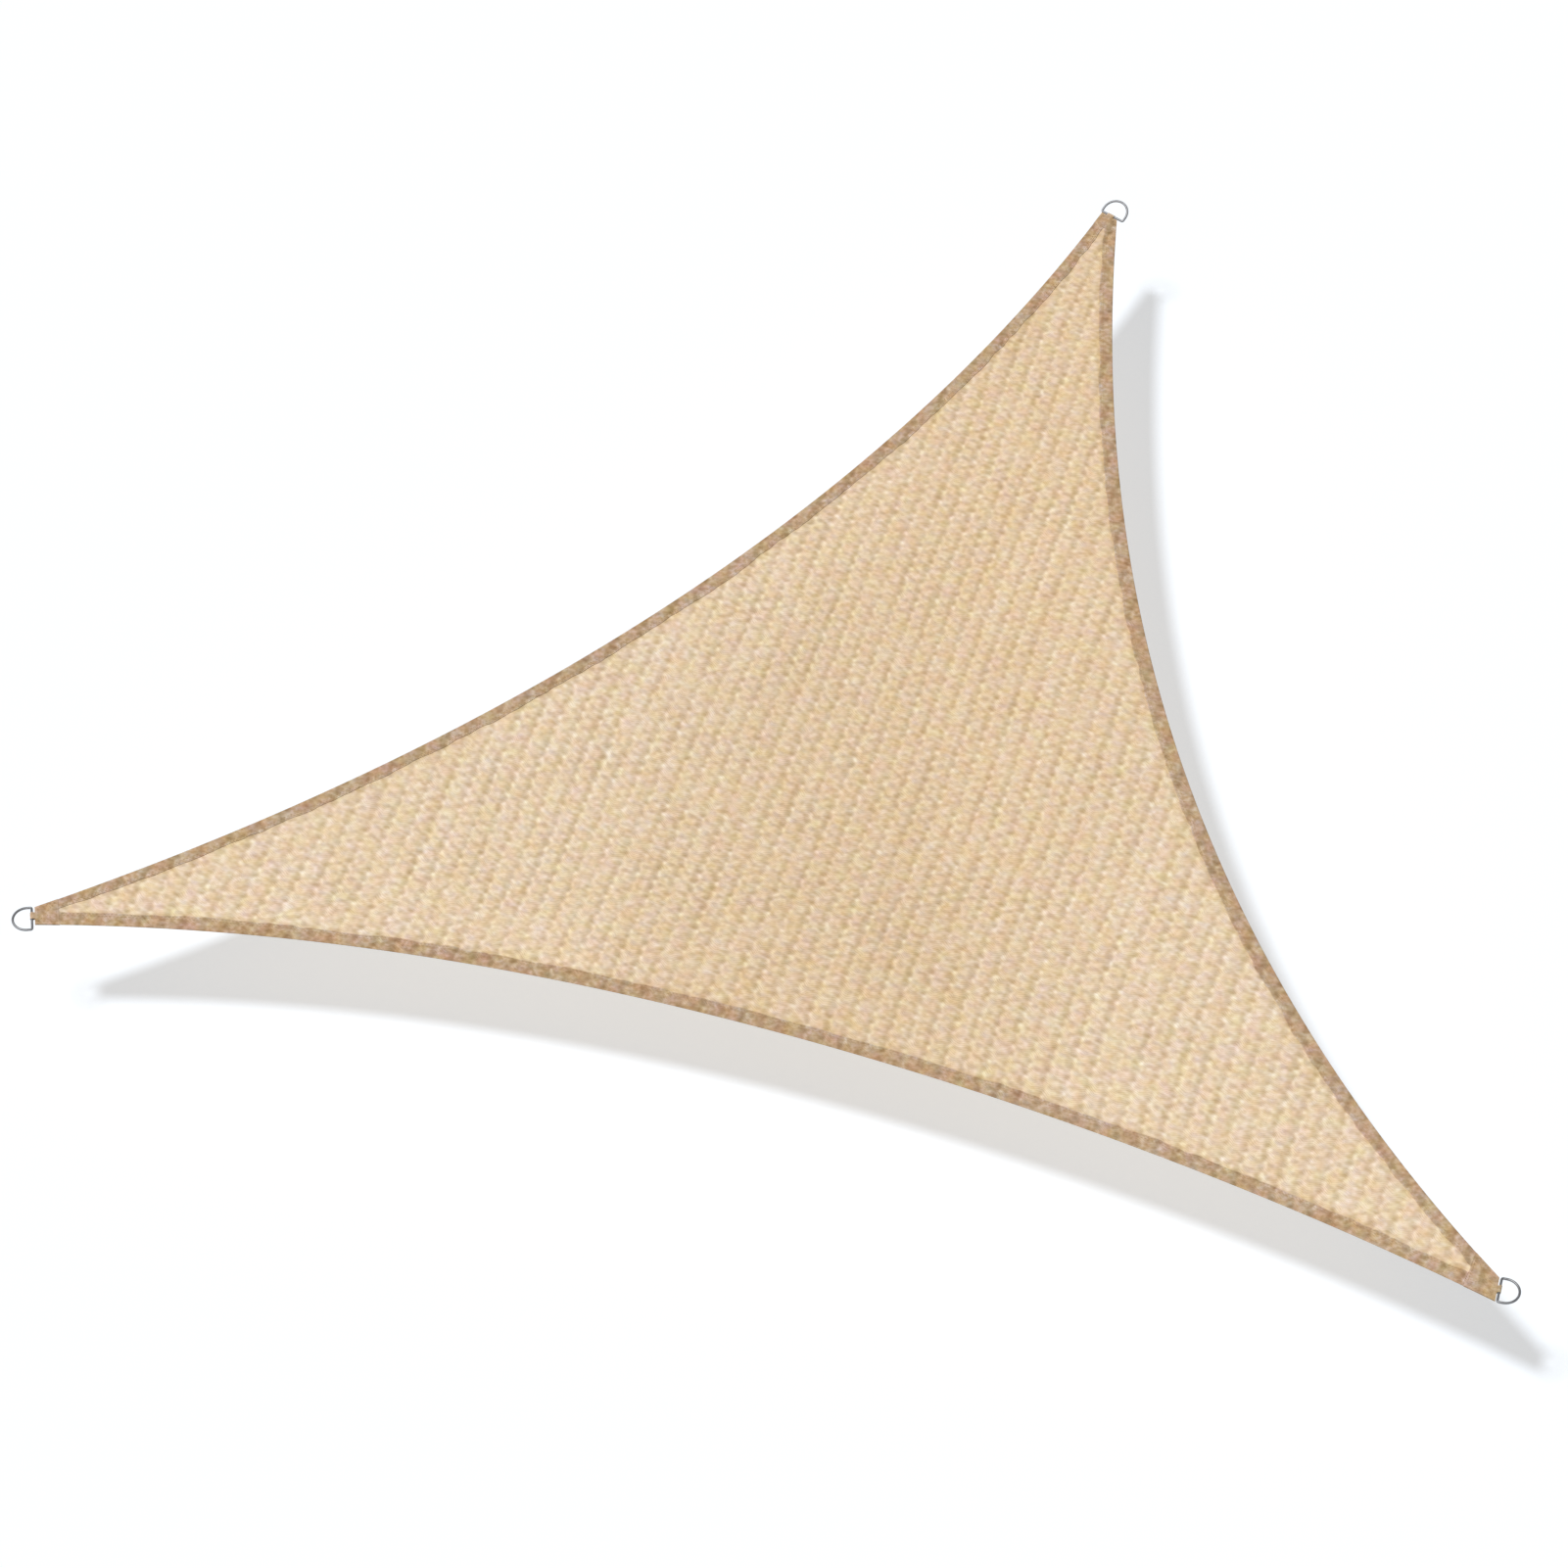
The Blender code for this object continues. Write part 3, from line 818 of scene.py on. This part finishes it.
def make_band(edge):
    """A folded band, between the tabs at its ends."""
    cells = 2 * LAYER_CELLS + FOLD_CELLS
    clear_selection()
    bpy.ops.mesh.primitive_grid_add(x_subdivisions=BAND_CELLS, y_subdivisions=cells, size=1)
    band = bpy.context.object
    mesh = bmesh.new()
    mesh.from_mesh(band.data)
    flat_cut = mesh.loops.layers.uv.verify()
    hem_shade = mesh.verts.layers.float.new("hem_shade")
    for vert in mesh.verts:
        share, across = vert.co.x + 0.5, (vert.co.y + 0.5) * cells
        from_hem = min(across, cells - across) / LAYER_CELLS * hem_line(edge, share)
        vert[hem_shade] = (PALE_BY_HEM * ease(1 - from_hem / HEM_RUN)
                           + DARK_WITHIN * ease(from_hem / HEM_RUN - 2))
        vert.co = band_place(edge, share, across)
        for loop in vert.link_loops:
            loop[flat_cut].uv = flat_place(vert.co.x, vert.co.y)
    mesh.to_mesh(band.data)
    mesh.free()
    band.data.uv_layers[0].name = "flat_cut"
    choose(band)
    bpy.ops.object.mode_set(mode="EDIT")
    for corner in (EDGES[edge]["start"], EDGES[edge]["end"]):
        at, outward = tab_side(corner)
        bpy.ops.mesh.select_all(action="SELECT")
        bpy.ops.mesh.bisect(plane_co=at - outward * SEAM, plane_no=outward, clear_outer=True)
    bpy.ops.mesh.select_all(action="SELECT")
    bpy.ops.mesh.normals_make_consistent(inside=False)
    bpy.ops.object.mode_set(mode="OBJECT")
    thicken(band, LAYER)
    return finish_piece(band, f"band_{edge}_tape", tape, "band", f"band_{edge}")


bands = [make_band(edge) for edge in EDGES]


# %% [markdown]
# ## The tabs
#
# A tab is one piece of tape: a leaf on top of the cloth's tip, a narrower tongue that goes round the bar of
# the ring, and a second leaf underneath. The upper leaf starts as a small grid, which is laid between the two
# curved edges, and a copy of it is the lower leaf. A spin would give the tongue a round path alone, and the
# real one also runs straight from the leaf to the bar. So rows of points are set round the bar, from the
# middle of one leaf's end to the other's, and the faces between them are filled in.

# %% Make a tab
TAB_ROWS = 10              # along a leaf
SIDE_CELLS = 3             # across a leaf, beside the tongue
TONGUE_STEPS = 14          # round the bar
PALE_TONGUE = 0.25         # its hem_shade
# the leaves reach that much nearer to the ring than their solids, in metres, as the bar lies close to the tab
TAB_REACH = {"left": 0.0018, "top": 0.0035, "right": 0.0042}
LEAF_TO_BAR = math.hypot(NECK, LAYER_HEIGHT)
# the turn round the bar, from the way towards the leaves, at which the tongue meets it
TOUCH = math.atan2(LAYER_HEIGHT, NECK) + math.acos(WRAP_RADIUS / LEAF_TO_BAR)


def make_tab(corner):
    """Both leaves of a tab and the tongue between them, as one sheet."""
    length, half_width = CORNERS[corner]["length"], CORNERS[corner]["half_width"]
    beside = (half_width - TONGUE / 2) / (2 * half_width)
    columns = [beside * i / SIDE_CELLS for i in range(SIDE_CELLS + 1)] + [(beside + 0.5) / 2]
    columns += [0.5] + [1 - share for share in reversed(columns)]
    out = heading(ring_heading(corner))

    clear_selection()
    bpy.ops.mesh.primitive_grid_add(x_subdivisions=len(columns) - 1, y_subdivisions=TAB_ROWS, size=1)
    tab = bpy.context.object
    mesh = bmesh.new()
    mesh.from_mesh(tab.data)
    flat_cut = mesh.loops.layers.uv.verify()
    hem_shade = mesh.verts.layers.float.new("hem_shade")
    grid = {}
    for vert in mesh.verts:
        column = round((vert.co.x + 0.5) * (len(columns) - 1))
        row = round((vert.co.y + 0.5) * TAB_ROWS)
        grid[column, row] = vert
    for (column, row), vert in grid.items():
        distance = length - (length + TAB_REACH[corner]) * row / TAB_ROWS
        first, last = tab_line(corner, distance)
        vert.co = first.lerp(last, columns[column])
        vert.co.z = LAYER_HEIGHT
    under = bmesh.ops.duplicate(mesh, geom=mesh.verts[:] + mesh.edges[:] + mesh.faces[:])["vert_map"]
    for vert in grid.values():
        under[vert].co.z = -LAYER_HEIGHT
    tongue_columns = range(SIDE_CELLS, len(columns) - SIDE_CELLS)
    rows = [[grid[column, TAB_ROWS] for column in tongue_columns]]
    for step in range(TONGUE_STEPS + 1):
        turn = TOUCH + (TURN - 2 * TOUCH) * step / TONGUE_STEPS
        middle = bar_point(corner) - out * WRAP_RADIUS * math.cos(turn)
        middle.z = WRAP_RADIUS * math.sin(turn)
        rows.append([mesh.verts.new(middle + along_bar(corner) * (columns[column] - 0.5) * 2 * half_width)
                     for column in tongue_columns])
        for vert in rows[-1]:
            vert[hem_shade] = PALE_TONGUE
    rows.append([under[vert] for vert in rows[0]])
    for near, far in zip(rows, rows[1:]):
        for i in range(len(near) - 1):
            mesh.faces.new((near[i], near[i + 1], far[i + 1], far[i]))
    for vert in mesh.verts:
        for loop in vert.link_loops:
            loop[flat_cut].uv = flat_place(vert.co.x, vert.co.y)
    bmesh.ops.recalc_face_normals(mesh, faces=mesh.faces)
    mesh.to_mesh(tab.data)
    mesh.free()
    tab.data.uv_layers[0].name = "flat_cut"
    thicken(tab, LAYER)
    return finish_piece(tab, f"tab_{corner}_tape", tape, "band", f"tab_{corner}")


tabs = [make_tab(corner) for corner in CORNERS]


# %% [markdown]
# ## The stitching
#
# Two rows of stitches hold each band near its inner hem, and a box with a cross in it holds each tab. The
# same rows show underneath. In a stitch the thread comes up through the tape, lies on it for a few
# millimetres and goes down again. One stitch is modelled: a thin cylinder is cut across in four places and
# its ends are bent down. It is then copied along every row, and the copies of one seam make one piece.

# %% Model one stitch
THREAD = 0.0009            # thickness
STITCH = 0.0062            # length of what shows
PITCH = 0.0090             # from one stitch to the next
STITCH_CUTS = (-0.36, -0.15, 0.15, 0.36)  # of its length, from its middle
LIFT, DROP = 0.3, 1.2      # of its middle and of its ends, in thicknesses of the thread

clear_selection()
bpy.ops.mesh.primitive_cylinder_add(vertices=5, radius=THREAD / 2, depth=STITCH, end_fill_type="NGON",
                                    rotation=(0, math.pi / 2, 0))
stitch = bpy.context.object
bpy.ops.object.transform_apply(rotation=True)
bpy.ops.object.mode_set(mode="EDIT")
for cut in STITCH_CUTS:
    bpy.ops.mesh.select_all(action="SELECT")
    bpy.ops.mesh.bisect(plane_co=(cut * STITCH, 0, 0), plane_no=(1, 0, 0))
bpy.ops.object.mode_set(mode="OBJECT")
for vert in stitch.data.vertices:
    vert.co.z += THREAD * (LIFT - DROP * (2 * vert.co.x / STITCH) ** 4)
STITCH_POINTS = [vert.co.copy() for vert in stitch.data.vertices]
STITCH_FACES = [list(face.vertices) for face in stitch.data.polygons]
bpy.data.objects.remove(stitch)
print(f"one stitch: {len(STITCH_FACES)} faces")


# %% Sew a seam
def sew(name, places):
    """A seam of stitches. places holds the middle, the way along and the way out of the tape of each one."""
    points, faces = [], []
    for middle, way, out in places:
        first = len(points)
        side = out.cross(way)
        points += [middle + way * p.x + side * p.y + out * p.z for p in STITCH_POINTS]
        faces += [[first + i for i in face] for face in STITCH_FACES]
    mesh = bpy.data.meshes.new(name)
    mesh.from_pydata(points, [], faces)
    mesh.update()
    seam = bpy.data.objects.new(name, mesh)
    bpy.context.scene.collection.objects.link(seam)
    mesh.shade_smooth()
    return finish_piece(seam, name, thread, "band")


def stitch_row(points, upper):
    """Places of the stitches between points in the middle of a layer of tape, on its outer face."""
    out = Vector((0, 0, 1 if upper else -1))
    steps = [b - a for a, b in zip(points, points[1:])]
    return [(a + step / 2 + out * LAYER / 2, step.normalized(), out) for a, step in zip(points, steps)]


# %% Sew the bands
ROWS_FROM_HEM = (0.004, 0.010)
EDGE_TO_CHORD = 1.02       # a curved edge is that much longer than its straight line


def band_stitches(edge):
    """Two rows on each leaf of a band, up to the tabs at its ends."""
    count = round(FRAMES[edge][1].length * EDGE_TO_CHORD / PITCH)
    ends = [tab_side(EDGES[edge]["start"]), tab_side(EDGES[edge]["end"])]
    places = []
    for upper in (True, False):
        for row, from_hem in enumerate(ROWS_FROM_HEM):
            points = []
            for i in range(count + 1):
                share = (i + row / 2) / (count + 1)
                part = from_hem / (hem_line(edge, share) - HALF_STACK) * LAYER_CELLS
                points.append(band_place(edge, share, part if upper else 2 * LAYER_CELLS + FOLD_CELLS - part))
            places += [place for place in stitch_row(points, upper)
                       if all((place[0] - at).dot(out) < -SEAM - STITCH for at, out in ends)]
    return sew(f"band_{edge}_stitches", places)


band_seams = [band_stitches(edge) for edge in EDGES]


# %% Sew the tabs
BOX_MARGIN = 0.006         # from a tab's ends to its box
TO_SIDES = 1.15            # the margin from its sides, in shares of that


def tab_stitches(corner):
    """A box with a cross in it on each leaf of a tab."""
    places = []
    for height in (LAYER_HEIGHT, -LAYER_HEIGHT):
        box = []
        for distance in (BOX_MARGIN, CORNERS[corner]["length"] - BOX_MARGIN):
            first, last = tab_line(corner, distance)
            inset = (last - first).normalized() * BOX_MARGIN * TO_SIDES
            box += [first + inset, last - inset]
        for a, b in ((0, 1), (2, 3), (0, 2), (1, 3), (0, 3), (1, 2)):
            count = round((box[b] - box[a]).length / PITCH)
            line = [box[a].lerp(box[b], i / count) + Vector((0, 0, height)) for i in range(count + 1)]
            places += stitch_row(line, height > 0)
    return sew(f"tab_{corner}_stitches", places)


tab_seams = [tab_stitches(corner) for corner in CORNERS]


# %% [markdown]
# ## The rings
#
# A D-ring is bent from one length of wire. A curve with a round bevel would also do, but the model is bent
# the same way as the wire: a circle, which is the wire's section, is spun half round for the bow, pushed down
# one side, spun through the bend into the bar, pushed along the bar and spun back up to meet its start,
# where the two ends are merged.

# %% Bend a ring
WIRE_SIDES = 16
BOW_STEPS = 36
BEND_STEPS = 6
BAR_STEPS = 8


def push(x, y, steps):
    """Extrude the wire's open end in so many equal steps."""
    for step in range(steps):
        bpy.ops.mesh.extrude_region_move(TRANSFORM_OT_translate={"value": (x / steps, y / steps, 0)})


def make_ring(corner):
    """A D-ring: its bar lies along X through the origin and its bow points along Y, then it is placed."""
    half = RING_WIDTH / 2
    shoulder = RING_DEPTH - half
    clear_selection()
    bpy.ops.mesh.primitive_circle_add(vertices=WIRE_SIDES, radius=WIRE / 2, location=(half, shoulder, 0),
                                      rotation=(math.pi / 2, 0, 0))
    ring = bpy.context.object
    bpy.ops.object.transform_apply(location=True, rotation=True)
    bpy.ops.object.mode_set(mode="EDIT")
    bpy.ops.mesh.select_all(action="SELECT")
    bpy.ops.mesh.spin(steps=BOW_STEPS, angle=-math.pi, center=(0, shoulder, 0), axis=(0, 0, 1))
    push(0, RING_BEND - shoulder, 2)
    bpy.ops.mesh.spin(steps=BEND_STEPS, angle=-math.pi / 2, center=(RING_BEND - half, RING_BEND, 0),
                      axis=(0, 0, 1))
    push(2 * (half - RING_BEND), 0, BAR_STEPS)
    bpy.ops.mesh.spin(steps=BEND_STEPS, angle=-math.pi / 2, center=(half - RING_BEND, RING_BEND, 0),
                      axis=(0, 0, 1))
    push(0, shoulder - RING_BEND, 2)
    bpy.ops.mesh.select_all(action="SELECT")
    bpy.ops.mesh.remove_doubles(threshold=0.00005)
    bpy.ops.mesh.normals_make_consistent(inside=False)
    bpy.ops.object.mode_set(mode="OBJECT")
    print(f"ring_{corner} before it is placed, in mm:", [round(size * 1000, 1) for size in ring.dimensions])
    turned = Matrix.Rotation(math.radians(ring_heading(corner) - 90), 4, "Z")
    swung = Matrix.Rotation(math.radians(CORNERS[corner]["swing"]), 4, "X")
    spot = bar_point(corner) + along_bar(corner) * CORNERS[corner]["slide"]
    ring.data.transform(Matrix.Translation(spot) @ turned @ swung)
    ring.data.shade_smooth()
    return finish_piece(ring, f"ring_{corner}_wire", steel, "steel", f"ring_{corner}")


rings = [make_ring(corner) for corner in CORNERS]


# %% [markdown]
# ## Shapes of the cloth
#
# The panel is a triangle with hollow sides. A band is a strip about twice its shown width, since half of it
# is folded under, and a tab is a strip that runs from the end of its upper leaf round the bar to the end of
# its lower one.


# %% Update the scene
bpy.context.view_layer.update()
